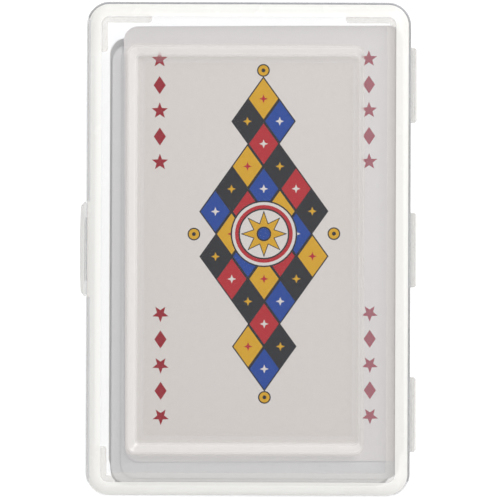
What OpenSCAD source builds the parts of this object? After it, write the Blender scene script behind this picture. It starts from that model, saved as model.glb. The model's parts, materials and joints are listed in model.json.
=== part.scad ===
// A deck of playing cards lying in a clear hinged case.
// The origin is the middle of the tray's underside. +Z is up, +X points at the
// hinge side and +Y at the upper ends of the cards.

/* [Cards] */
// Width of a card
card_w = 57; // [54:0.5:64]
// Length of a card
card_l = 89; // [84:0.5:95]
// Thickness of a card
card_t = 0.28; // [0.2:0.01:0.32]
// Radius of a card's corners
card_r = 3; // [1:0.5:5]
// Air film between two cards
card_air = 0.01; // [0.005:0.005:0.03]

/* [Lie of the deck] */
// Sideways place of the cards held between the corner guards
held_x = 0.15; // [-0.2:0.05:0.2]
// Lengthways place of the cards held between the corner guards
held_y = -1.4; // [-1.5:0.1:1.5]
// Sideways scatter of the cards
scatter_x = 0.2; // [0:0.05:0.2]
// Lengthways scatter of the cards
scatter_y = 0.3; // [0:0.05:0.4]
// Sideways place of the loose cards above the guards
loose_x = 0.6; // [-2:0.1:2]
// Lengthways place of the lowest loose card
loose_low_y = -4; // [-4.3:0.1:4.3]
// Lengthways place of the highest loose card under the two jokers
loose_high_y = -2.9; // [-4.3:0.1:4.3]
// Sideways place of the joker under the top card
under_x = 2.6; // [-3:0.1:3]
// Lengthways place of the joker under the top card
under_y = -2.3; // [-4:0.1:4]
// Sideways place of the top card
top_x = 3.2; // [-3.2:0.1:3.2]
// Lengthways place of the top card
top_y = 1.2; // [-4:0.1:4]
// Turn of the top card in degrees
top_turn = 0.37; // [-0.4:0.01:0.4]

/* [Case] */
// Room beside a card along each long side
side_play = 3.95; // [3.6:0.05:6]
// Room beyond a card at each end
end_play = 5.35; // [5:0.05:8]
// Thickness of the side walls
wall_t = 0.75; // [0.6:0.05:1.4]
// Thickness of the tray's floor
floor_t = 1; // [0.7:0.05:1.5]
// Thickness of the lid's top
top_t = 1; // [0.7:0.05:1.5]
// Room between the top card and the lid's panel
headroom = 0.45; // [0.3:0.05:1]
// Height of the tray's rim above the table
rim_z = 12.5; // [9:0.1:13.5]
// Slit between the tray's rim and the lid's rim
rim_gap = 0.06; // [0.04:0.01:0.2]
// Radius of the case's corners seen from above
corner_r = 4.8; // [4:0.1:6]
// Radius of the lid's rounded shoulder
shoulder_r = 3.2; // [2:0.1:3.8]
// Radius of the tray's rounded bottom edge
base_r = 1.6; // [1.5:0.1:2.5]

/* [Lid panel] */
// Distance from the lid's long sides to the sunk panel
panel_margin_x = 10.8; // [9:0.1:14]
// Distance from the lid's ends to the sunk panel
panel_margin_y = 11.4; // [9:0.1:14]
// Depth of the sunk panel
panel_sink = 1.2; // [0.8:0.1:1.6]
// Width of the sloping edge round the panel
panel_slope_w = 2.2; // [1.2:0.1:3]

/* [Corner guards] */
// Gap between a held card and the guards along the long sides
guard_gap_x = 0.45; // [0.4:0.05:0.8]
// Gap between a centred held card and the guards at the ends
guard_gap_y = 2; // [1.95:0.05:3]
// Length of a guard along the end of the tray
guard_len_x = 12.6; // [8:0.1:16]
// Length of a guard along the side of the tray
guard_len_y = 9.4; // [8:0.1:14]
// Drop of a guard's top below the rim
guard_drop = 0.4; // [0.2:0.1:2]

/* [Hinge] */
// Length of each hinge strap
strap_l = 15.4; // [10:0.1:20]
// Distance from the ends of the case to the outer straps
strap_margin = 9.1; // [6:0.1:16]
// Reach of a strap's leaf from the wall to the fold
leaf_reach = 0.7; // [0.6:0.05:1.5]
// Thickness of a strap's leaf
leaf_t = 0.7; // [0.5:0.05:1]
// Thickness of the film in the fold
web_t = 0.3; // [0.2:0.05:0.4]
// Corner cut at each end of a strap
strap_chamfer = 0.5; // [0.2:0.1:0.6]

/* [Latch] */
// Length of the latch tab along the wall
latch_l = 19.5; // [14:0.1:26]
// Thickness of the latch tab
latch_t = 1.2; // [1:0.05:1.6]
// Gap between the latch tab and the wall
latch_gap = 0.08; // [0.05:0.01:0.2]
// Reach of the tab above the rim
latch_up = 2.9; // [2:0.1:3.1]
// Reach of the tab below the rim
latch_down = 4.6; // [3.5:0.1:6]
// Corner cut at each end of the tab
latch_chamfer = 1; // [0.5:0.1:1.1]
// Length of the catch bead on the tray
catch_l = 13; // [8:0.1:14]
// Radius of the catch bead
catch_r = 0.45; // [0.3:0.05:0.5]
// Drop of the catch bead below the rim
catch_drop = 2.2; // [1.5:0.1:2.5]
// Clearance round the bead in the tab's groove
catch_clear = 0.12; // [0.1:0.01:0.2]

/* [Hidden] */
$fn = 96;
// Overrun of every cut
over = 0.5;

SUITS = ["spades", "hearts", "clubs", "diamonds"];
RANKS = ["ace", "two", "three", "four", "five", "six", "seven", "eight", "nine", "ten",
         "jack", "queen", "king"];
CARDS = concat([for (s = SUITS) for (r = RANKS) str(r, "_of_", s)], ["plain_joker", "colour_joker"]);

// Colours of the translucent case and the white board of the cards
case_colour = [0.9, 0.91, 0.92, 0.45];
strap_colour = [0.86, 0.87, 0.88, 0.6];
card_colour = [0.95, 0.94, 0.91];

n_cards = len(CARDS);
top_card = n_cards - 1;
pitch = card_t + card_air;

// Case sizes that follow from the cards
inner_w = card_w + 2 * side_play;
inner_l = card_l + 2 * end_play;
outer_w = inner_w + 2 * wall_t;
outer_l = inner_l + 2 * wall_t;
deck_top = floor_t + n_cards * pitch;
panel_low = deck_top + headroom;
case_h = panel_low + top_t + panel_sink;
lid_low = rim_z + rim_gap;
// Height at which the lid's wall passes into its top, halfway from the deck to the panel
lid_split = deck_top + headroom / 2;
fold_x = outer_w / 2 + leaf_reach;
fold_z = rim_z + rim_gap / 2;
fold_r = leaf_t - web_t;
strap_pitch = outer_l / 2 - strap_margin - strap_l / 2;
panel_w = outer_w - 2 * panel_margin_x;
panel_l = outer_l - 2 * panel_margin_y;
guard_x = card_w / 2 + guard_gap_x;
guard_y = card_l / 2 + guard_gap_y;
guard_top = rim_z - guard_drop;
latch_x = -outer_w / 2 - latch_gap - latch_t / 2;
latch_root_z = rim_z + latch_up;
catch_z = rim_z - catch_drop;

// Scatter of the cards: each card turns on by about the golden angle, so no two lie alike
scatter_step = 137.5;
function wave(i, phase) = sin(i * scatter_step + phase);
quarter_turn = 90;

// Height of card i's underside, and whether it lies between the guards
function card_z(i) = floor_t + card_air + i * pitch;
function held(i) = card_z(i) < guard_top;
first_loose = len([for (i = [0 : n_cards - 1]) if (held(i)) i]);
last_loose = n_cards - 3;
function climb(i) = (i - first_loose) / max(last_loose - first_loose, 1);
function card_x(i) =
    i == top_card ? top_x :
    i == top_card - 1 ? under_x :
    (held(i) ? held_x : loose_x) + scatter_x * wave(i, 0);
function card_y(i) =
    i == top_card ? top_y :
    i == top_card - 1 ? under_y :
    scatter_y * wave(i, quarter_turn) +
    (held(i) ? held_y : loose_low_y + (loose_high_y - loose_low_y) * climb(i));

// Rounded rectangle
module plate_outline(w, l, r) {
    square([w - 2 * r, l], center = true);
    square([w, l - 2 * r], center = true);
    for (x = [-1, 1], y = [-1, 1])
        translate([x * (w / 2 - r), y * (l / 2 - r)])
            circle(r);
}

// Upright section of a block whose top edges have the fillet f
module block_section(w, h, f) {
    translate([-w / 2, 0])
        square([w, h - f]);
    translate([f - w / 2, 0])
        square([w - 2 * f, h]);
    for (x = [-1, 1])
        translate([x * (w / 2 - f), h - f])
            circle(f);
}

// Section from the axis of a block's rounded corner outwards
module corner_section(r, h, f) {
    square([r, h - f]);
    square([r - f, h]);
    translate([r - f, h - f])
        intersection() {
            circle(f);
            square(f);
        }
}

// Block with corners of radius r and a fillet f along its top edge
module block(w, l, h, r, f) {
    rotate([quarter_turn, 0, 0])
        linear_extrude(height = l - 2 * r, center = true)
            block_section(w, h, f);
    rotate([quarter_turn, 0, quarter_turn])
        linear_extrude(height = w - 2 * r, center = true)
            block_section(l, h, f);
    for (k = [0 : 3])
        translate([(k % 3 == 0 ? 1 : -1) * (w / 2 - r), (k < 2 ? 1 : -1) * (l / 2 - r), 0])
            rotate([0, 0, k * quarter_turn])
                rotate_extrude(angle = quarter_turn)
                    corner_section(r, h, f);
}

// Bar with a trapezium section, w wide at the bottom and wider by spread at each side of the top
module wedge(w, spread, h, length) {
    rotate([quarter_turn, 0, 0])
        linear_extrude(height = length, center = true)
            polygon([[-w / 2, 0], [w / 2, 0], [w / 2 + spread, h], [-w / 2 - spread, h]]);
}

// Four-sided dish that widens by spread towards its top
module dish(w, l, h, spread) {
    intersection() {
        wedge(w, spread, h, l + 2 * (spread + over));
        rotate([0, 0, quarter_turn])
            wedge(l, spread, h, w + 2 * (spread + over));
    }
}

// Strip of length l along Y with a section drawn in X and Z
module strip(l) {
    rotate([quarter_turn, 0, 0])
        linear_extrude(height = l, center = true)
            children();
}

// Places of the three hinge straps
module at_straps() {
    for (k = [-1 : 1])
        translate([fold_x, k * strap_pitch, fold_z])
            children();
}

// Leaf of a strap, from the wall to the fold, below the fold's axis
module leaf() {
    translate([-leaf_reach - wall_t / 2, -strap_l / 2, -leaf_t])
        cube([leaf_reach + wall_t / 2, strap_l, leaf_t - rim_gap / 2]);
}

// Rounded relief that lets the leaves fold on the strap's axis
module fold_relief() {
    strip(strap_l + 2 * over)
        circle(fold_r);
}

// Room that one corner guard takes from the tray's hollow
module corner_guard() {
    side_end = inner_l / 2 - guard_len_y;
    end_end = inner_w / 2 - guard_len_x;
    translate([guard_x, side_end, 0])
        cube([side_play + over, guard_len_y + over, guard_top]);
    translate([end_end, guard_y, 0])
        cube([guard_len_x + over, end_play + over, guard_top]);
}

// Hollow of the tray, kept solid where the four corner guards stand
module tray_hollow() {
    difference() {
        translate([0, 0, rim_z + over])
            mirror([0, 0, 1])
                block(inner_w, inner_l, rim_z + over - floor_t, corner_r - wall_t, base_r - wall_t);
        for (x = [0, 1], y = [0, 1])
            mirror([x, 0, 0])
                mirror([0, y, 0])
                    corner_guard();
    }
}

// Lower half of the case: a shell with corner guards, hinge leaves and the catch bead
module tray() {
    color(case_colour)
        difference() {
            union() {
                difference() {
                    translate([0, 0, rim_z])
                        mirror([0, 0, 1])
                            block(outer_w, outer_l, rim_z, corner_r, base_r);
                    tray_hollow();
                }
                translate([-outer_w / 2, 0, catch_z])
                    strip(catch_l)
                        circle(catch_r);
                at_straps()
                    leaf();
            }
            at_straps()
                fold_relief();
        }
}

// Upper half of the case: a shouldered cap with a sunk panel and hinge leaves
module lid() {
    slope_angle = atan(panel_sink / panel_slope_w);
    spread = top_t * tan(slope_angle / 2);
    difference() {
        union() {
            difference() {
                translate([0, 0, lid_low])
                    block(outer_w, outer_l, case_h - lid_low, corner_r, shoulder_r);
                translate([0, 0, lid_low - over])
                    block(inner_w, inner_l, case_h - top_t - lid_low + over, corner_r - wall_t,
                          shoulder_r - wall_t);
            }
            translate([0, 0, panel_low])
                dish(panel_w + 2 * spread, panel_l + 2 * spread, panel_sink, panel_slope_w);
            translate([0, 0, panel_low + panel_sink])
                linear_extrude(height = top_t / 2)
                    square([panel_w + 2 * (spread + panel_slope_w),
                            panel_l + 2 * (spread + panel_slope_w)], center = true);
            at_straps()
                mirror([0, 0, 1])
                    leaf();
        }
        translate([0, 0, case_h - panel_sink])
            dish(panel_w, panel_l, panel_sink, panel_slope_w);
        at_straps()
            fold_relief();
    }
}

// The lid between two heights
module lid_slice(low, high) {
    color(case_colour)
        intersection() {
            lid();
            translate([-outer_w, -outer_l, low])
                cube([2 * outer_w, 2 * outer_l, high - low]);
        }
}

// The lid's upright wall with the upper hinge leaves
module lid_wall() {
    lid_slice(lid_low - over, lid_split);
}

// The lid's shoulder and top with the sunk panel
module lid_top() {
    lid_slice(lid_split, case_h + over);
}

// Springy tab on the lid that snaps over the tray's catch bead
module latch_tab() {
    low = rim_z - latch_down;
    color(case_colour)
        difference() {
            intersection() {
                translate([0, 0, low])
                    linear_extrude(height = latch_root_z + latch_t - low)
                        polygon([[latch_x + latch_t / 2, latch_l / 2],
                                 [latch_x + latch_t / 2, -latch_l / 2],
                                 [latch_x + latch_t / 2 - latch_chamfer, -latch_l / 2],
                                 [latch_x - latch_t / 2, latch_chamfer - latch_l / 2],
                                 [latch_x - latch_t / 2, latch_l / 2 - latch_chamfer],
                                 [latch_x + latch_t / 2 - latch_chamfer, latch_l / 2]]);
                strip(latch_l) {
                    translate([latch_x - latch_t / 2, low])
                        square([latch_t, latch_root_z - low]);
                    translate([latch_x, latch_root_z])
                        circle(latch_t / 2);
                }
            }
            translate([-outer_w / 2, 0, catch_z])
                strip(catch_l + 2 * catch_clear)
                    circle(catch_r + catch_clear);
        }
}

// Thin film that joins the two leaves of each strap round the fold
module hinge_straps() {
    color(strap_colour)
        at_straps()
            intersection() {
                strip(strap_l)
                    difference() {
                        circle(leaf_t);
                        circle(fold_r);
                    }
                translate([0, 0, -leaf_t])
                    linear_extrude(height = 2 * leaf_t)
                        polygon([[0, strap_l / 2], [0, -strap_l / 2],
                                 [leaf_t - strap_chamfer, -strap_l / 2],
                                 [leaf_t, strap_chamfer - strap_l / 2],
                                 [leaf_t, strap_l / 2 - strap_chamfer],
                                 [leaf_t - strap_chamfer, strap_l / 2]]);
            }
}

// Card i of the deck, counted from the bottom
module card(i) {
    color(card_colour)
        translate([card_x(i), card_y(i), card_z(i)])
            rotate([0, 0, i == top_card ? top_turn : 0])
                linear_extrude(height = card_t)
                    plate_outline(card_w, card_l, card_r);
}

tray();
lid_wall();
lid_top();
latch_tab();
hinge_straps();
for (i = [0 : n_cards - 1]) card(i);
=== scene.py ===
import json
import math

import bmesh
import bpy
from mathutils import Matrix, Vector
from mathutils.geometry import delaunay_2d_cdt

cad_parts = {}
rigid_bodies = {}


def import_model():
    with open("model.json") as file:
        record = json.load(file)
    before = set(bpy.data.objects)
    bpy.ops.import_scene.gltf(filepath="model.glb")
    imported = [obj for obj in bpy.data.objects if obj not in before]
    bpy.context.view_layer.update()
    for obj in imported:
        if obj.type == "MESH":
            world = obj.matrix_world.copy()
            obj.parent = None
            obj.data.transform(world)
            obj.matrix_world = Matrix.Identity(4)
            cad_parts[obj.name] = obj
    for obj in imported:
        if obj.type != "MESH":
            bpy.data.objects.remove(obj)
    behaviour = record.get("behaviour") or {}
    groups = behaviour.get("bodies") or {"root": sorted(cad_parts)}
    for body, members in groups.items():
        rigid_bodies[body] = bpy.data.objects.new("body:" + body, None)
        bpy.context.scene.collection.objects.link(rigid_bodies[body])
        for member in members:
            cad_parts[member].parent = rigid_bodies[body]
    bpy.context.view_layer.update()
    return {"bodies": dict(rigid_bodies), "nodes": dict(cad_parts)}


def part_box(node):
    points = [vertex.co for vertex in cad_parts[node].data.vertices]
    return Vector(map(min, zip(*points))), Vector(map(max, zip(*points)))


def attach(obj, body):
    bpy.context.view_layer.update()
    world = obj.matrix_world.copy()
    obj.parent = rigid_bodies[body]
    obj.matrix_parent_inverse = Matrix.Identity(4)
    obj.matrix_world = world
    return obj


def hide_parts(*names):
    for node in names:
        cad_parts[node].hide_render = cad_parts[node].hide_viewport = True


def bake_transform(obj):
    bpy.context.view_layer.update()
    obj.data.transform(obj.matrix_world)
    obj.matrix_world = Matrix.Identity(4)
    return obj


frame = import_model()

MM = 0.001

# Case: the outside comes from the frame, the thicknesses and radii are the case's own
WALL_LOW, WALL_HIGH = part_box("lid_wall")
LATCH_LOW, LATCH_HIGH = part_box("latch_tab")
STRAP_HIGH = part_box("hinge_straps")[1]
HALF_W = -WALL_LOW.x
HALF_L = WALL_HIGH.y
LID_RIM_Z = WALL_LOW.z
LID_TOP_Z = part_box("lid_top")[1].z
TRAY_RIM_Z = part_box("tray")[1].z
WALL = 0.75 * MM
TOP_T = 1.0 * MM
FLOOR_T = 1.0 * MM
CORNER_R = 4.8 * MM
SHOULDER_R = 3.2 * MM
BASE_R = 1.6 * MM
RIM_ROUND = 0.15 * MM

# Bands round the lid: the outline band, a thin grey line at the shoulder's foot, a pale band of painted
# light that lifts the shade beside the shoulder, and the side towards which the outline is painted darkest
# as painted shade
EDGE_W = 0.7 * MM
SHOULDER_LINE_W = 0.25 * MM
PAINTED_LIGHT_BAND = 1.6 * MM
PAINTED_SHADE_SIDE = Vector((0.35, 0.94))

# Sunk panel in the lid
PANEL_MARGIN_X = 10.8 * MM
PANEL_MARGIN_Y = 11.4 * MM
PANEL_SINK = 1.2 * MM
PANEL_SLOPE_LEFT = 2.6 * MM
PANEL_SLOPE_RIGHT = 1.2 * MM
PANEL_SLOPE_TOP = 2.6 * MM
PANEL_SLOPE_BOTTOM = 2.8 * MM
PANEL_CORNER_R = 0.7 * MM
PANEL_FADE = 0.55 * MM

# Corner guards of the tray
GUARD_X = 28.95 * MM
GUARD_Y = 46.5 * MM
GUARD_LEN_X = 12.6 * MM
GUARD_LEN_Y = 9.4 * MM
GUARD_TOP_Z = 12.1 * MM
GUARD_ROUND = 0.4 * MM

# Hinge straps
FOLD_X = WALL_HIGH.x
FOLD_Z = (LID_RIM_Z + TRAY_RIM_Z) / 2
LEAF_T = STRAP_HIGH.z - FOLD_Z
LEAF_GAP = 0.03 * MM
WEB_T = 0.3 * MM
STRAP_L = 15.4 * MM
STRAP_PITCH = STRAP_HIGH.y - STRAP_L / 2
STRAP_CHAMFER = 0.5 * MM
STRAPS = {"hinge_strap_lower": -1, "hinge_strap_middle": 0, "hinge_strap_upper": 1}

# Latch and catch
LATCH_CHAMFER = 1.0 * MM
LATCH_BOW = 0.2 * MM
LATCH_ROUND = 0.3 * MM
LATCH_RIDGE = 0.06 * MM
LATCH_ROOT_R = (LATCH_HIGH.x - LATCH_LOW.x) / 2
LATCH_ROOT_SHARE = 0.85
LATCH_SKIN = 1.3 * LATCH_ROOT_R
CATCH_L = 13 * MM
CATCH_R = 0.45 * MM
CATCH_Z = TRAY_RIM_Z - 2.2 * MM
CATCH_CLEAR = 0.12 * MM

# Cards
CARD_W = 57 * MM
CARD_L = 89 * MM
CARD_R = 3 * MM
TOP_CARD = "colour_joker"
TOP_CARD_TURN = math.radians(0.37)
DEEP_Z = 12 * MM

# Corner marks on the top card; a star is its number of points, its outer and its inner reach
UP = 90
MARKS = 5
MARK_X = {-1: -21.2 * MM, 1: 21.55 * MM}
MARK_PITCH = 5.25 * MM
MARK_COLUMNS = ((37.7 * MM, -1), (-35.25 * MM, 1))
MARK_LOZENGE = (1.25 * MM, 1.85 * MM)
MARK_STAR = (5, 1.75 * MM, 0.74 * MM)

# Ornament on the top card: a lattice of lozenges, beads at its points and a medallion
ORNAMENT_Y = 2 * MM
INK_LINE = 0.25 * MM
LOZENGE_X = 3.3 * MM
LOZENGE_Y = 4.6 * MM
LATTICE_X = 12 * MM
LATTICE_Y = 33 * MM
LATTICE_COLUMNS = 3
LATTICE_ROWS = 6
LATTICE_COLOURS = ["black", "yellow", "red", "blue"]
PIP_COLOURS = {"black": "yellow", "yellow": "red", "red": "paper", "blue": "paper"}
PIP_STAR = (4, 0.9 * MM, 0.35 * MM)
BEAD_PLACES = ((0, 33.4 * MM), (14.3 * MM, 0))
BEAD_R = 1.3 * MM
BEAD_EYE_R = 0.4 * MM
MEDALLION_DISCS = (
    (6.8 * MM, "black"),
    (6.5 * MM, "paper"),
    (5.9 * MM, "red"),
    (5.2 * MM, "black"),
    (4.9 * MM, "paper"),
)
MEDALLION_STARS = (((8, 4.8 * MM, 2.35 * MM), "black"), ((8, 4.3 * MM, 2.1 * MM), "yellow"))
MEDALLION_EYE = ((1.5 * MM, "black"), (1.2 * MM, "blue"))

# Steps of the round shapes; the first three count those in a quarter turn
CORNER_STEPS = 14
FILLET_STEPS = 10
SMALL_STEPS = 3
SLOPE_STEPS = 8
RELIEF_STEPS = 6
BOW_STEPS = 10
FOLD_STEPS = 16
BEAD_STEPS = 24
DISC_STEPS = 40

# Share of a face's normal in a direction from which the face counts as turned that way
FACING = 0.75
LEVEL = 0.95
UPWARD = 0.5

# Mesh tools: gaps that are welded, the mode that keeps the inside of loops, the angle of a true edge
WELD = 1e-7
PRINT_WELD = 1e-5
INSIDE_ONLY = 1
SHARP_ANGLE = math.radians(40)

# Grain of each material as scale and detail, relief as strength and depth
PLASTIC_GRAIN = (220.0, 2.0)
PLASTIC_RELIEF = (0.03, 0.2 * MM)
PLASTIC_SPREAD = 0.3
PLASTIC_IOR = 1.49
CARD_GRAIN = (900.0, 3.0)
CARD_RELIEF = (0.1, 0.02 * MM)
CARD_ROUGHNESS = (0.45, 0.6)
INK_GRAIN = (1400.0, 2.0)
INK_RELIEF = (0.1, 0.01 * MM)
INK_ROUGHNESS = (0.4, 0.5)
INK_SPREAD = 0.08
INK_SPECULAR = 0.15

# Roughness of the plastic
SLEEK = 0.1
SMOOTH = 0.15
SATIN = 0.2
MATT = 0.25

# Stage and light
FLOOR_SIZE = 3
FLOOR_DROP = 0.1 * MM
FLOOR_LIFT = 0.96
TABLE_GREY = 0.8
SHADOW_GREY = 0.3
LIGHT_STOPS = ((0.0, 0.58), (0.5, 0.69), (1.0, 0.785))
LIGHT_SIDE = (0.35, -0.9, 1.0)
KEY_PLACE = (0.25, 0.33, 0.51)
KEY_SIZE = 0.3
KEY_POWER = 1.75

# Camera: the lid's edges in pixels of the photograph, the height in metres, the sensor in millimetres
PHOTO_SIZE = 500
LID_LEFT = 86
LID_RIGHT = 410.5
LID_TOP = 2
LID_BOTTOM = 497
CAMERA_HEIGHT = 0.75
CAMERA_SENSOR = 36
CAMERA_TURN = math.radians(0.2)


def srgb(red, green, blue):
    """Linear colour of a display colour given in 0 to 255, by the sRGB standard's curve."""
    def linear(value):
        share = value / 255
        return share / 12.92 if share <= 0.04045 else ((share + 0.055) / 1.055) ** 2.4
    return (linear(red), linear(green), linear(blue), 1)


def grey(level):
    """Linear grey."""
    return (level, level, level, 1)


# Materials

class Nodes:
    """Short hand for building one node tree."""

    def __init__(self, tree):
        self.tree = tree
        tree.nodes.clear()

    def add(self, kind, **settings):
        """New node; a setting is one of its properties or the value of an input."""
        node = self.tree.nodes.new("ShaderNode" + kind)
        for name, value in settings.items():
            if hasattr(node, name):
                setattr(node, name, value)
            else:
                node.inputs[name.replace("_", " ")].default_value = value
        return node

    def link(self, source, target):
        """Joins an output to an input."""
        self.tree.links.new(source, target)


def new_material(name):
    """Empty material and its node tree."""
    material = bpy.data.materials.new(name)
    material.use_nodes = True
    return material, Nodes(material.node_tree)


def grained_shader(name, grain, roughness, relief):
    """Material whose roughness and relief follow a grain that is fixed to the piece."""
    material, nodes = new_material(name)
    output = nodes.add("OutputMaterial")
    shader = nodes.add("BsdfPrincipled")
    place = nodes.add("TexCoord")
    noise = nodes.add("TexNoise", Scale=grain[0], Detail=grain[1])
    nodes.link(place.outputs["Object"], noise.inputs["Vector"])
    spread = nodes.add("MapRange", To_Min=roughness[0], To_Max=roughness[1])
    nodes.link(noise.outputs["Fac"], spread.inputs["Value"])
    nodes.link(spread.outputs["Result"], shader.inputs["Roughness"])
    bump = nodes.add("Bump", Strength=relief[0], Distance=relief[1])
    nodes.link(noise.outputs["Fac"], bump.inputs["Height"])
    nodes.link(bump.outputs["Normal"], shader.inputs["Normal"])
    nodes.link(shader.outputs["BSDF"], output.inputs["Surface"])
    return material, nodes, shader, noise.outputs["Fac"]


def tint(nodes, shader, grain, dark, light):
    """Spreads the base colour between two colours along the grain."""
    ramp = nodes.add("ValToRGB")
    ramp.color_ramp.elements[0].color = dark
    ramp.color_ramp.elements[1].color = light
    nodes.link(grain, ramp.inputs["Fac"])
    nodes.link(ramp.outputs["Color"], shader.inputs["Base Color"])


def moulded_plastic(name, colour, solidity, roughness):
    """Thin translucent polypropylene; solidity is the share of light that its haze stops."""
    spread = ((1 - PLASTIC_SPREAD) * roughness, (1 + PLASTIC_SPREAD) * roughness)
    material, nodes, shader, flow = grained_shader(name, PLASTIC_GRAIN, spread, PLASTIC_RELIEF)
    shader.inputs["Base Color"].default_value = colour
    shader.inputs["IOR"].default_value = PLASTIC_IOR
    shader.inputs["Alpha"].default_value = solidity
    return material


def card_board(name, dark, light):
    """Card stock with faint fibres and a calendered sheen."""
    material, nodes, shader, fibre = grained_shader(name, CARD_GRAIN, CARD_ROUGHNESS, CARD_RELIEF)
    tint(nodes, shader, fibre, dark, light)
    return material


def ink(name, colour):
    """Printing ink on card, slightly uneven."""
    material, nodes, shader, mottle = grained_shader(name, INK_GRAIN, INK_ROUGHNESS, INK_RELIEF)
    thin = tuple(min(1, (1 + INK_SPREAD) * c) for c in colour[:3]) + (1,)
    thick = tuple((1 - INK_SPREAD) * c for c in colour[:3]) + (1,)
    tint(nodes, shader, mottle, thick, thin)
    shader.inputs["Specular IOR Level"].default_value = INK_SPECULAR
    return material


# Colour, solidity and roughness of the case's plastic on each stretch of its surface
PLASTICS = {
    "clear": (srgb(150, 150, 150), 0.045, SLEEK),
    "panel_edge": (srgb(244, 244, 242), 0.11, SMOOTH),
    "frame": (srgb(228, 234, 246), 0.09, SMOOTH),
    # The slope's three whiter stretches are partly haze and partly painted highlight; the palest of them
    # also makes a painted light band beside the shoulder
    "slope_fade": (srgb(248, 247, 244), 0.2, SATIN),
    "slope_edge": (srgb(249, 247, 244), 0.42, SATIN),
    "slope": (srgb(250, 248, 245), 0.54, SATIN),
    # A thin grey line where the shoulder meets the top
    "shoulder_line": (srgb(190, 192, 196), 0.16, SATIN),
    # The white shoulder is partly haze and partly painted highlight; its left-facing stretch is a darker
    # copy, painted shade
    "shoulder": (srgb(252, 251, 247), 0.76, MATT),
    "painted_shade_flank": (srgb(234, 235, 237), 0.6, MATT),
    # The grey outline bands are painted shade for the dark line that the wall shows edge-on, darkest on
    # one side and faint on the other
    "edge": (srgb(134, 135, 137), 0.68, MATT),
    "darkest_painted_edge": (srgb(138, 139, 146), 0.72, MATT),
    "faint_painted_edge": (srgb(184, 186, 192), 0.25, MATT),
    "tray": (srgb(245, 245, 245), 0.05, SATIN),
    "guard": (srgb(234, 223, 204), 0.4, SATIN),
    "wall": (srgb(206, 210, 214), 0.29, SATIN),
    "strap": (srgb(220, 218, 213), 0.3, MATT),
    "latch": (srgb(224, 222, 218), 0.46, MATT),
}
CASE = [moulded_plastic(name + "_plastic", *finish) for name, finish in PLASTICS.items()]
SLOT = {name: place for place, name in enumerate(PLASTICS)}

BOARD = card_board("card_board", srgb(213, 207, 203), srgb(221, 215, 211))
# Cards beneath the top one: the upper stack's board is greyer, painted shade, and the deep cards' board
# paler, painted light that lifts their shade
PAINTED_LIGHT_BOARD = card_board("painted_light_card_board", srgb(240, 237, 232), srgb(248, 245, 240))
PAINTED_SHADE_BOARD = card_board("painted_shade_card_board", srgb(209, 206, 203), srgb(217, 214, 211))
# Cut edges in two tones by turns: the second is a darker copy, painted shade between the cards
CUT_EDGES = [
    card_board("card_edge", srgb(244, 242, 238), srgb(250, 248, 244)),
    card_board("painted_shade_card_edge", srgb(222, 219, 214), srgb(230, 227, 222)),
]
INKS = {
    "yellow": ink("ink_yellow", srgb(214, 164, 40)),
    "blue": ink("ink_blue", srgb(32, 71, 153)),
    "red": ink("ink_red", srgb(180, 42, 51)),
    "crimson": ink("ink_crimson", srgb(152, 36, 49)),
    "black": ink("ink_black", srgb(40, 41, 46)),
}


# Mesh helpers

def add_piece(name, bm, materials, body, slot, *replaced):
    """Turns a bmesh into a piece that rides on a body and stands for CAD nodes."""
    bmesh.ops.remove_doubles(bm, verts=bm.verts, dist=WELD)
    bmesh.ops.recalc_face_normals(bm, faces=bm.faces)
    mesh = bpy.data.meshes.new(name)
    bm.to_mesh(mesh)
    bm.free()
    for material in materials:
        mesh.materials.append(material)
    piece = bpy.data.objects.new(name, mesh)
    bpy.context.scene.collection.objects.link(piece)
    if body:
        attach(piece, body)
    if replaced:
        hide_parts(*replaced)
    return piece


def soften(piece):
    """Smooth shading that keeps flats flat and true edges sharp."""
    piece.data.shade_smooth()
    piece.data.set_sharp_from_angle(angle=SHARP_ANGLE)
    modifier = piece.modifiers.new("flat_faces", "WEIGHTED_NORMAL")
    modifier.keep_sharp = True


def quarter(steps):
    """Sine and cosine over a quarter turn."""
    angles = [math.pi / 2 * step / steps for step in range(steps + 1)]
    return [(math.sin(angle), math.cos(angle)) for angle in angles]


def ring(half_w, half_l, radius, z, centre=(0, 0)):
    """Points anticlockwise round a rectangle with round corners."""
    points = []
    for sx, sy, start in ((1, 1, 0), (-1, 1, 90), (-1, -1, 180), (1, -1, 270)):
        for step in range(CORNER_STEPS + 1):
            angle = math.radians(start + 90 * step / CORNER_STEPS)
            x = centre[0] + sx * (half_w - radius) + radius * math.cos(angle)
            y = centre[1] + sy * (half_l - radius) + radius * math.sin(angle)
            points.append(Vector((x, y, z)))
    return points


def loft(bm, rings, slots=None):
    """Skins rings of equal length and closes both ends; slots are the materials of the bands."""
    slots = slots or [0] * (len(rings) - 1)
    rows = [[bm.verts.new(point) for point in points] for points in rings]
    faces = []
    for slot, low, high in zip(slots, rows, rows[1:]):
        for k, vertex in enumerate(low):
            after = (k + 1) % len(low)
            face = bm.faces.new((vertex, low[after], high[after], high[k]))
            face.material_index = slot
            faces.append(face)
    for row, slot in ((rows[0], slots[0]), (rows[-1], slots[-1])):
        face = bm.faces.new(row)
        face.material_index = slot
        faces.append(face)
    bmesh.ops.recalc_face_normals(bm, faces=faces)


def case_ring(inset, z):
    """Ring at a distance in from the case's outer wall."""
    radius = max(CORNER_R - inset, PANEL_CORNER_R)
    return ring(HALF_W - inset, HALF_L - inset, radius, z)


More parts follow.
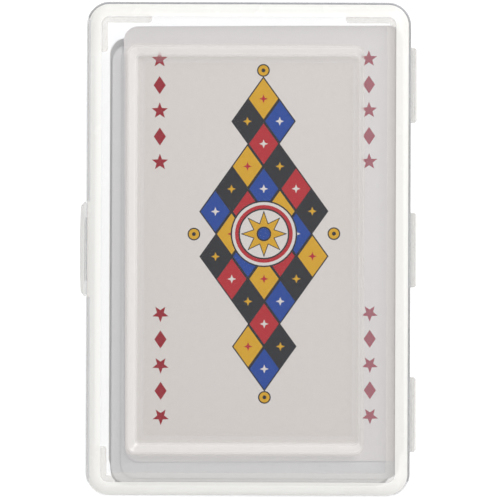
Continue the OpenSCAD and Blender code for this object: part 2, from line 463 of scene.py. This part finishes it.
def slope_rings(top_z, spread):
    """Rings of the slope that eases from the sunk panel up to the frame, narrowest at the right."""
    half_w = HALF_W - PANEL_MARGIN_X + spread
    half_l = HALF_L - PANEL_MARGIN_Y + spread
    rings = []
    for step in range(SLOPE_STEPS + 1):
        share = step / SLOPE_STEPS
        rise = share * share * (3 - 2 * share)
        left, right = share * PANEL_SLOPE_LEFT, share * PANEL_SLOPE_RIGHT
        bottom, top = share * PANEL_SLOPE_BOTTOM, share * PANEL_SLOPE_TOP
        centre = ((right - left) / 2, (top - bottom) / 2)
        radius = PANEL_CORNER_R + spread + share * PANEL_SLOPE_RIGHT
        half = (half_w + (left + right) / 2, half_l + (bottom + top) / 2)
        rings.append(ring(half[0], half[1], radius, top_z - PANEL_SINK * (1 - rise), centre))
    return rings


def prism(bm, section, y_low, y_high):
    """Strip along Y with a closed section given in X and Z, in the straps' plastic."""
    near = [bm.verts.new((x, y_low, z)) for x, z in section]
    far = [bm.verts.new((x, y_high, z)) for x, z in section]
    faces = [bm.faces.new(near), bm.faces.new(list(reversed(far)))]
    for k, vertex in enumerate(near):
        after = (k + 1) % len(near)
        faces.append(bm.faces.new((vertex, far[k], far[after], near[after])))
    for face in faces:
        face.material_index = SLOT["strap"]
    bmesh.ops.recalc_face_normals(bm, faces=faces)


def arc(x, z, radius, start, stop, steps):
    """Points of an arc in X and Z, in degrees from +X towards +Z."""
    angles = [math.radians(start + (stop - start) * k / steps) for k in range(steps + 1)]
    return [(x + radius * math.cos(a), z + radius * math.sin(a)) for a in angles]


def carve(base, *steps):
    """Boolean steps on a closed mesh, worked at millimetre scale."""
    scratch = []
    for bm in [base] + [tool for operation, tool in steps]:
        mesh = bpy.data.meshes.new("scratch")
        bm.transform(Matrix.Scale(1 / MM, 4))
        bm.to_mesh(mesh)
        bm.free()
        for material in CASE:
            mesh.materials.append(material)
        scratch.append(bpy.data.objects.new("scratch", mesh))
        bpy.context.scene.collection.objects.link(scratch[-1])
    target = scratch[0]
    for (operation, _), tool in zip(steps, scratch[1:]):
        modifier = target.modifiers.new(operation, "BOOLEAN")
        modifier.operation = operation
        modifier.solver = "EXACT"
        modifier.object = tool
    bpy.context.view_layer.update()
    result = target.evaluated_get(bpy.context.evaluated_depsgraph_get()).to_mesh()
    carved = bmesh.new()
    carved.from_mesh(result)
    carved.transform(Matrix.Scale(MM, 4))
    for scrap in scratch:
        mesh = scrap.data
        bpy.data.objects.remove(scrap)
        bpy.data.meshes.remove(mesh)
    return carved


# Case pieces

def leaves(side):
    """The three hinge leaves above (1) or below (-1) the fold's axis."""
    gap = LID_RIM_Z - FOLD_Z
    fold_r = LEAF_T - WEB_T
    relief_start = 180 - math.degrees(math.asin(gap / fold_r))
    relief_end = 90 + math.degrees(math.asin(LEAF_GAP / fold_r))
    relief = arc(FOLD_X, 0, fold_r, relief_start, relief_end, RELIEF_STEPS)
    root = HALF_W - WALL / 2
    section = [(root, gap)] + relief + [(FOLD_X - LEAF_GAP, LEAF_T), (root, LEAF_T)]
    section = [(x, FOLD_Z + side * z) for x, z in section]
    bm = bmesh.new()
    for place in STRAPS.values():
        middle = place * STRAP_PITCH
        prism(bm, section, middle - STRAP_L / 2, middle + STRAP_L / 2)
    return bm


def lid_inside():
    """Rings from the panel's underside down to the rim, each with the plastic of the band before it."""
    spread = TOP_T * math.tan(math.atan2(PANEL_SINK, PANEL_SLOPE_LEFT) / 2)
    under_z = LID_TOP_Z - TOP_T
    inner_r = SHOULDER_R - WALL
    bands = [(points, "frame") for points in slope_rings(under_z, spread)]
    for s, c in quarter(FILLET_STEPS):
        bands.append((case_ring(WALL + inner_r * (1 - s), under_z - inner_r * (1 - c)), "frame"))
    for s, c in quarter(SMALL_STEPS):
        bands.append((case_ring(WALL - RIM_ROUND * (1 - c), LID_RIM_Z + RIM_ROUND * (1 - s)), "wall"))
    return bands


def lid_outside():
    """Rings from the rim up the wall, over the shoulder and down to the sunk panel, in the same form."""
    bands = []
    # The rim's rounding and the shoulder's lowest stretch carry the outline band, painted shade; the rest
    # of the shoulder is white, partly haze and partly painted highlight
    for s, c in quarter(SMALL_STEPS):
        bands.append((case_ring(RIM_ROUND * (1 - s), LID_RIM_Z + RIM_ROUND * (1 - c)), "edge"))
    for s, c in quarter(FILLET_STEPS):
        inset = SHOULDER_R * (1 - c)
        plastic = "wall" if not inset else "edge" if inset < EDGE_W else "shoulder"
        bands.append((case_ring(inset, LID_TOP_Z - SHOULDER_R * (1 - s)), plastic))
    # A thin grey line at the shoulder's foot, then a pale band of painted light that lifts the shade the
    # shoulder casts beside it
    bands.append((case_ring(SHOULDER_R + SHOULDER_LINE_W, LID_TOP_Z), "shoulder_line"))
    bands.append((case_ring(SHOULDER_R + SHOULDER_LINE_W + PAINTED_LIGHT_BAND, LID_TOP_Z), "slope_fade"))
    # The slope's whiter stretches are partly haze and partly painted highlight
    tones = ("frame", "slope_fade", "slope_edge", "slope")
    for step, points in enumerate(reversed(slope_rings(LID_TOP_Z, 0))):
        depth = min(step, SLOPE_STEPS + 1 - step, len(tones) - 1)
        bands.append((points, tones[depth]))
    for inset, plastic in ((PANEL_FADE, "panel_edge"), (2 * PANEL_FADE, "frame")):
        half_w = HALF_W - PANEL_MARGIN_X - inset
        half_l = HALF_L - PANEL_MARGIN_Y - inset
        bands.append((ring(half_w, half_l, PANEL_CORNER_R, LID_TOP_Z - PANEL_SINK), plastic))
    return bands


def painted_shade_by_side(face):
    """Plastic of a face of the lid's shoulder, rounded edge or wall, by the side that it faces: painted
    shade, with the outline darkest on one side and faint or clear on the other and the left shoulder
    darker, while the wall behind the latch is clear.
    """
    middle = face.calc_center_median()
    behind_latch = middle.x < 0 and abs(middle.y) < LATCH_HIGH.y
    if face.material_index == SLOT["shoulder"]:
        return "painted_shade_flank" if face.normal.x < -FACING and not behind_latch else "shoulder"
    if behind_latch:
        return "tray"
    if face.material_index == SLOT["wall"]:
        return "wall"
    facing = face.normal.xy.normalized().dot(PAINTED_SHADE_SIDE)
    if facing > FACING:
        return "darkest_painted_edge"
    if facing < -FACING:
        return "tray"
    return "edge" if facing > 0 else "faint_painted_edge"


def make_lid():
    """Shouldered cap with a sunk panel and the upper hinge leaves."""
    bands = lid_inside() + lid_outside()
    bm = bmesh.new()
    loft(bm, [points for points, _ in bands], [SLOT[plastic] for _, plastic in bands[1:]])
    # Only the panel's two flats have more than four corners
    for face in bm.faces:
        if len(face.verts) > 4:
            face.material_index = SLOT["clear"]
    for side in (-1, 1):
        whole = bm.verts[:] + bm.edges[:] + bm.faces[:]
        latch_end = (0, side * LATCH_HIGH.y, 0)
        bmesh.ops.bisect_plane(bm, geom=whole, plane_co=latch_end, plane_no=(0, 1, 0))
    bm.normal_update()
    flanks = (SLOT["wall"], SLOT["edge"], SLOT["shoulder"])
    for face in bm.faces:
        if face.material_index in flanks:
            face.material_index = SLOT[painted_shade_by_side(face)]
    bm = carve(bm, ("UNION", leaves(1)))
    soften(add_piece("lid_shell", bm, CASE, "lid", "case", "lid_wall", "lid_top"))


def rounded_block(bm, low, high, radius, top_round):
    """Upright block with round corners and a rounded top edge."""
    centre = ((low.x + high.x) / 2, (low.y + high.y) / 2)
    half = ((high.x - low.x) / 2, (high.y - low.y) / 2)
    rings = [ring(half[0], half[1], radius, low.z, centre)]
    for s, c in quarter(SMALL_STEPS):
        inset = top_round * (1 - c)
        z = high.z - top_round * (1 - s)
        rings.append(ring(half[0] - inset, half[1] - inset, radius - inset, z, centre))
    loft(bm, rings)


def guard_blocks(along_side):
    """Blocks that fill the four corners of the tray's hollow, along its sides or its ends."""
    bm = bmesh.new()
    beyond = 2 * WALL
    inner_w, inner_l = HALF_W - WALL, HALF_L - WALL
    if along_side:
        low = Vector((GUARD_X, inner_l - GUARD_LEN_Y, 0))
    else:
        low = Vector((inner_w - GUARD_LEN_X, GUARD_Y, 0))
    high = Vector((inner_w + beyond, inner_l + beyond, GUARD_TOP_Z))
    for sx in (-1, 1):
        for sy in (-1, 1):
            corners = [Vector((sx * p.x, sy * p.y, p.z)) for p in (low, high)]
            lowest = Vector(map(min, *corners))
            highest = Vector(map(max, *corners))
            rounded_block(bm, lowest, highest, 2 * GUARD_ROUND, GUARD_ROUND)
    return bm


def catch_bead():
    """Half-round bead on the tray's wall that the latch snaps over."""
    bm = bmesh.new()
    section = arc(-HALF_W, CATCH_Z, CATCH_R, 90, 270, BEAD_STEPS // 2)
    section += [(-HALF_W + WALL / 2, CATCH_Z - CATCH_R), (-HALF_W + WALL / 2, CATCH_Z + CATCH_R)]
    prism(bm, section, -CATCH_L / 2, CATCH_L / 2)
    return bm


def tray_plastic(face):
    """Plastic of a face of the tray: bead or hinge leaves, floor, guards or inside, rim or wall."""
    middle = face.calc_center_median()
    depth = min(HALF_W - abs(middle.x), HALF_L - abs(middle.y))
    if depth <= -RIM_ROUND:
        return "tray" if middle.x < 0 else "strap"
    if middle.z < FLOOR_T + BASE_R:
        flat = depth > BASE_R or abs(face.normal.z) > LEVEL
        return "tray" if flat else "wall"
    if depth > WALL + RIM_ROUND:
        return "guard" if face.normal.z > UPWARD else "tray"
    at_rim = depth > 0 and middle.z > TRAY_RIM_Z - RIM_ROUND
    # The rim's faint grey band is painted shade for the outline
    return "faint_painted_edge" if at_rim else "wall"


def make_tray():
    """Lower half of the case, with corner guards, catch bead and hinge leaves."""
    above_rim = TRAY_RIM_Z + WALL
    inner_r = BASE_R - WALL
    outside = bmesh.new()
    rings = []
    for s, c in quarter(FILLET_STEPS):
        rings.append(case_ring(BASE_R * (1 - s), BASE_R * (1 - c)))
    for s, c in quarter(SMALL_STEPS):
        rings.append(case_ring(RIM_ROUND * (1 - c), TRAY_RIM_Z - RIM_ROUND * (1 - s)))
    loft(outside, rings)
    hollow = bmesh.new()
    rings = []
    for s, c in quarter(FILLET_STEPS):
        rings.append(case_ring(WALL + inner_r * (1 - s), FLOOR_T + inner_r * (1 - c)))
    for s, c in quarter(SMALL_STEPS):
        rings.append(case_ring(WALL - RIM_ROUND * (1 - c), TRAY_RIM_Z - RIM_ROUND * (1 - s)))
    rings.append(case_ring(WALL - RIM_ROUND, above_rim))
    loft(hollow, rings)
    hollow = carve(hollow, ("DIFFERENCE", guard_blocks(True)), ("DIFFERENCE", guard_blocks(False)))
    bm = carve(outside, ("DIFFERENCE", hollow), ("UNION", catch_bead()), ("UNION", leaves(-1)))
    bm.normal_update()
    for face in bm.faces:
        face.material_index = SLOT[tray_plastic(face)]
    soften(add_piece("tray_shell", bm, CASE, "tray", "case", "tray"))


def latch_section(outer_in, inner_in, z):
    """The latch's outline at one height, drawn in from the outer and the inner face."""
    inner_x, outer_x = LATCH_HIGH.x - inner_in, LATCH_LOW.x + outer_in
    end_y = LATCH_HIGH.y - outer_in
    flat_y = LATCH_HIGH.y - LATCH_CHAMFER
    ridge_x = inner_x - LATCH_RIDGE
    shoulder_x = min(LATCH_LOW.x + LATCH_CHAMFER, ridge_x)
    points = [(inner_x, end_y), (inner_x, -end_y), (shoulder_x, -end_y)]
    for k in range(BOW_STEPS + 1):
        share = 2 * k / BOW_STEPS - 1
        points.append((min(outer_x + LATCH_BOW * share * share, ridge_x), flat_y * share))
    points.append((shoulder_x, end_y))
    return [Vector((x, y, z)) for x, y in points]


def make_latch():
    """Springy tab, slightly bowed, with cut corners, a round root and a groove for the catch bead."""
    sections = []
    for s, c in quarter(SMALL_STEPS):
        sections.append(latch_section(LATCH_ROUND * (1 - s), 0, LATCH_LOW.z + LATCH_ROUND * (1 - c)))
    for s, c in quarter(2 * SMALL_STEPS):
        inset = LATCH_ROOT_SHARE * LATCH_ROOT_R * (1 - c)
        sections.append(latch_section(inset, inset, LATCH_HIGH.z - LATCH_ROOT_R * (1 - s)))
    bm = bmesh.new()
    loft(bm, sections)
    groove = bmesh.new()
    groove_end = CATCH_L / 2 + CATCH_CLEAR
    last_angle = 360 - 360 / BEAD_STEPS
    section = arc(-HALF_W, CATCH_Z, CATCH_R + CATCH_CLEAR, 0, last_angle, BEAD_STEPS - 1)
    prism(groove, section, -groove_end, groove_end)
    bm = carve(bm, ("DIFFERENCE", groove))
    for face in bm.faces:
        depth = face.calc_center_median().x - LATCH_LOW.x
        face.material_index = SLOT["latch" if depth < LATCH_SKIN else "tray"]
    soften(add_piece("latch_tab_moulded", bm, CASE, "latch_tab", "case", "latch_tab"))


def make_strap(name, place):
    """Folded film of one strap."""
    middle = place * STRAP_PITCH
    half_l = STRAP_L / 2
    bm = bmesh.new()
    rows = []
    for k in range(FOLD_STEPS + 1):
        angle = math.radians(-90 + 180 * k / FOLD_STEPS)
        row = []
        for radius in (LEAF_T, LEAF_T - WEB_T):
            out = radius * math.cos(angle)
            cut = max(out - (LEAF_T - STRAP_CHAMFER), 0)
            for side in (-1, 1):
                y = middle + side * (half_l - cut)
                row.append(bm.verts.new((FOLD_X + out, y, FOLD_Z + radius * math.sin(angle))))
        rows.append(row)
    for low, high in zip(rows, rows[1:]):
        for a, b in ((0, 1), (1, 3), (3, 2), (2, 0)):
            bm.faces.new((low[a], low[b], high[b], high[a]))
    for row in (rows[0], rows[-1]):
        bm.faces.new((row[0], row[1], row[3], row[2]))
    for face in bm.faces:
        face.material_index = SLOT["strap"]
    strap = add_piece(name, bm, CASE, None, "case", "hinge_straps")
    soften(strap)
    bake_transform(strap)


# Cards

def star(x, y, points, outer, inner, turn=UP):
    """Outline of a star, its first point at an angle in degrees."""
    corners = []
    for k in range(2 * points):
        reach = inner if k % 2 else outer
        angle = math.radians(turn + 180 * k / points)
        corners.append((x + reach * math.cos(angle), y + reach * math.sin(angle)))
    return corners


def disc(x, y, radius):
    """Outline of a disc."""
    turns = [2 * math.pi * k / DISC_STEPS for k in range(DISC_STEPS)]
    return [(x + radius * math.cos(t), y + radius * math.sin(t)) for t in turns]


def lozenge(x, y, half_w, half_h):
    """Outline of an upright lozenge."""
    return [(x, y - half_h), (x + half_w, y), (x, y + half_h), (x - half_w, y)]


def inside(point, polygon):
    """Whether a point lies in a polygon, by the edges that a line from it crosses."""
    x, y = point
    hit = False
    for (x1, y1), (x2, y2) in zip(polygon, polygon[1:] + polygon[:1]):
        if (y1 > y) != (y2 > y) and x < (x2 - x1) * (y - y1) / (y2 - y1) + x1:
            hit = not hit
    return hit


def triangulate(loops):
    """Points and triangles of a flat sheet in which every loop's edges are kept, worked in millimetres."""
    points = []
    edges = []
    for loop in loops:
        first = len(points)
        points += [Vector(p) / MM for p in loop]
        edges += [(first + k, first + (k + 1) % len(loop)) for k in range(len(loop))]
    sheet, _, triangles, *_ = delaunay_2d_cdt(points, edges, [], INSIDE_ONLY, PRINT_WELD)
    return [p * MM for p in sheet], triangles


def printed_card(name, shapes):
    """A card whose face holds shapes of ink, later shapes over earlier ones."""
    low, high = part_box(name)
    centre = (low + high) / 2
    outline = [tuple(p.xy) for p in ring(CARD_W / 2, CARD_L / 2, CARD_R, 0)]
    sheet, triangles = triangulate([outline] + [corners for corners, colour in shapes])
    materials = [BOARD, CUT_EDGES[0]] + list(INKS.values())
    paper_slot, edge_slot = 0, 1
    slots = {"paper": paper_slot}
    for colour, material in INKS.items():
        slots[colour] = materials.index(material)
    bm = bmesh.new()
    top = [bm.verts.new((p.x, p.y, high.z)) for p in sheet]
    for triangle in triangles:
        corners = [sheet[k] for k in triangle]
        middle = sum(corners, Vector((0, 0))) / len(corners)
        if not inside(middle, outline):
            continue
        face = bm.faces.new([top[k] for k in triangle])
        face.material_index = paper_slot
        for polygon, colour in shapes:
            if inside(middle, polygon):
                face.material_index = slots[colour]
    base = [bm.verts.new((x, y, low.z)) for x, y in outline]
    rim = top[:len(outline)]
    for k, vertex in enumerate(base):
        after = (k + 1) % len(base)
        side = bm.faces.new((vertex, base[after], rim[after], rim[k]))
        side.material_index = edge_slot
    bm.faces.new(list(reversed(base)))
    loose = [v for v in bm.verts if not v.link_faces]
    bmesh.ops.delete(bm, geom=loose, context="VERTS")
    turn = Matrix.Rotation(TOP_CARD_TURN, 4, "Z")
    bm.transform(Matrix.Translation((centre.x, centre.y, 0)) @ turn)
    return add_piece(name + "_printed", bm, materials, name, "card_board", name)


def corner_marks():
    """A column of red marks in each corner, stars and lozenges by turns."""
    shapes = []
    for side in (-1, 1):
        for first, step in MARK_COLUMNS:
            for k in range(MARKS):
                y = first + step * k * MARK_PITCH
                if k % 2:
                    mark = lozenge(MARK_X[side], y, *MARK_LOZENGE)
                else:
                    mark = star(MARK_X[side], y, *MARK_STAR, -step * UP)
                shapes.append((mark, "crimson"))
    return shapes


def beads():
    """Ringed dots beyond the four points of the lattice."""
    shapes = []
    for side in (-1, 1):
        for x, y in BEAD_PLACES:
            place = (side * x, side * y + ORNAMENT_Y)
            shapes.append((disc(*place, BEAD_R), "black"))
            shapes.append((disc(*place, BEAD_R - INK_LINE), "yellow"))
            shapes.append((disc(*place, BEAD_EYE_R), "black"))
    return shapes


def lattice():
    """Two-way lozenge lattice in four colours, outlined, with a small star in each lozenge."""
    shapes = []
    shrink = 1 - INK_LINE * math.hypot(LOZENGE_X, LOZENGE_Y) / (LOZENGE_X * LOZENGE_Y)
    for row in range(-LATTICE_ROWS, LATTICE_ROWS + 1):
        for column in range(-LATTICE_COLUMNS, LATTICE_COLUMNS + 1):
            if (row + column) % 2:
                continue
            x, y = column * LOZENGE_X, row * LOZENGE_Y
            if abs(x) / LATTICE_X + abs(y) / LATTICE_Y > 1:
                continue
            rise, fall = (row + column) // 2, (row - column) // 2
            colour = LATTICE_COLOURS[(rise + 2 * fall) % len(LATTICE_COLOURS)]
            place = (x, y + ORNAMENT_Y)
            shapes.append((lozenge(*place, LOZENGE_X, LOZENGE_Y), "black"))
            shapes.append((lozenge(*place, shrink * LOZENGE_X, shrink * LOZENGE_Y), colour))
            shapes.append((star(*place, *PIP_STAR), PIP_COLOURS[colour]))
    return shapes


def medallion():
    """Ringed star, the middle of the ornament."""
    shapes = [(disc(0, ORNAMENT_Y, radius), colour) for radius, colour in MEDALLION_DISCS]
    shapes += [(star(0, ORNAMENT_Y, *form), colour) for form, colour in MEDALLION_STARS]
    shapes += [(disc(0, ORNAMENT_Y, radius), colour) for radius, colour in MEDALLION_EYE]
    return shapes


def make_cards():
    """Card stock on every card, greyer in the upper stack as painted shade and paler in the deep one as
    painted light, with a plain and a painted-shade tone of cut edge by turns so that the stack shows its
    layers.
    """
    cards = [body for body in frame["bodies"] if "_of_" in body or body.endswith("joker")]
    for place, card in enumerate(cards):
        mesh = frame["nodes"][card].data
        mesh.materials.clear()
        # Painted shade on the upper stack, painted light on the deep cards
        mesh.materials.append(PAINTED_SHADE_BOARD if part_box(card)[1].z > DEEP_Z else PAINTED_LIGHT_BOARD)
        mesh.materials.append(CUT_EDGES[place % len(CUT_EDGES)])
        for face in mesh.polygons:
            face.material_index = 1 if abs(face.normal.z) < UPWARD else 0
    printed_card(TOP_CARD, corner_marks() + beads() + lattice() + medallion())


# Stage, light and camera

def show_backdrop(nodes, lighting, backdrop, output):
    """Lets the camera, mirrors and glass see the backdrop, and everything else the lighting."""
    path = nodes.add("LightPath")
    seen = path.outputs["Is Camera Ray"]
    for kind in ("Is Glossy Ray", "Is Transmission Ray"):
        either = nodes.add("Math", operation="MAXIMUM")
        nodes.link(seen, either.inputs[0])
        nodes.link(path.outputs[kind], either.inputs[1])
        seen = either.outputs[0]
    mix = nodes.add("MixShader")
    nodes.link(seen, mix.inputs["Fac"])
    nodes.link(lighting, mix.inputs[1])
    nodes.link(backdrop, mix.inputs[2])
    nodes.link(mix.outputs[0], output.inputs["Surface"])


def make_floor():
    """White table that shows white to the camera and still takes the shadow."""
    bm = bmesh.new()
    bmesh.ops.create_grid(bm, x_segments=1, y_segments=1, size=FLOOR_SIZE)
    mesh = bpy.data.meshes.new("floor")
    bm.to_mesh(mesh)
    bm.free()
    floor = bpy.data.objects.new("floor", mesh)
    floor.location.z = -FLOOR_DROP
    bpy.context.scene.collection.objects.link(floor)
    material, nodes = new_material("white_table")
    output = nodes.add("OutputMaterial")
    table = nodes.add("BsdfDiffuse", Color=grey(TABLE_GREY))
    shade = nodes.add("BsdfDiffuse", Color=grey(SHADOW_GREY))
    lift = nodes.add("Emission", Strength=FLOOR_LIFT)
    backdrop = nodes.add("AddShader")
    nodes.link(shade.outputs[0], backdrop.inputs[0])
    nodes.link(lift.outputs[0], backdrop.inputs[1])
    show_backdrop(nodes, table.outputs[0], backdrop.outputs[0], output)
    mesh.materials.append(material)


def make_world():
    """Soft studio light, brightest overhead and towards the near right; the camera sees white."""
    world = bpy.data.worlds.new("studio")
    bpy.context.scene.world = world
    world.use_nodes = True
    nodes = Nodes(world.node_tree)
    output = nodes.add("OutputWorld")
    background = nodes.add("Background")
    place = nodes.add("TexCoord")
    side = nodes.add("VectorMath", operation="DOT_PRODUCT")
    side.inputs[1].default_value = LIGHT_SIDE
    ramp = nodes.add("ValToRGB")
    stops = ramp.color_ramp.elements
    for position, _ in LIGHT_STOPS[1:-1]:
        stops.new(position)
    for stop, (position, level) in zip(stops, LIGHT_STOPS):
        stop.position = position
        stop.color = grey(level)
    nodes.link(place.outputs["Generated"], side.inputs[0])
    nodes.link(side.outputs["Value"], ramp.inputs["Fac"])
    nodes.link(ramp.outputs["Color"], background.inputs["Color"])
    white = nodes.add("Background", Color=grey(1))
    show_backdrop(nodes, background.outputs[0], white.outputs[0], output)


def make_key_light():
    """Soft lamp above the case, off its upper right corner."""
    lamp_data = bpy.data.lights.new("key_light", "AREA")
    lamp_data.shape = "DISK"
    lamp_data.size = KEY_SIZE
    lamp_data.energy = KEY_POWER
    lamp = bpy.data.objects.new("key_light", lamp_data)
    lamp.location = KEY_PLACE
    lamp.rotation_euler = Vector(KEY_PLACE).to_track_quat("Z", "Y").to_euler()
    bpy.context.scene.collection.objects.link(lamp)


def make_camera():
    """Straight above the case, framed as the photograph."""
    pixel = 2 * HALF_L / (LID_BOTTOM - LID_TOP)
    camera_data = bpy.data.cameras.new("camera")
    camera = bpy.data.objects.new("camera", camera_data)
    bpy.context.scene.collection.objects.link(camera)
    camera_data.sensor_width = CAMERA_SENSOR
    camera_data.lens = CAMERA_SENSOR * CAMERA_HEIGHT / (PHOTO_SIZE * pixel)
    off_x = PHOTO_SIZE / 2 - (LID_LEFT + LID_RIGHT) / 2
    off_y = (LID_TOP + LID_BOTTOM) / 2 - PHOTO_SIZE / 2
    camera.location = (off_x * pixel, off_y * pixel, LID_TOP_Z - SHOULDER_R + CAMERA_HEIGHT)
    camera.rotation_euler = (0, 0, CAMERA_TURN)
    bpy.context.scene.camera = camera


make_lid()
make_tray()
make_latch()
for strap_name, strap_place in STRAPS.items():
    make_strap(strap_name, strap_place)
make_cards()
make_floor()
make_world()
make_key_light()
make_camera()

bpy.context.scene.view_settings.view_transform = "Standard"
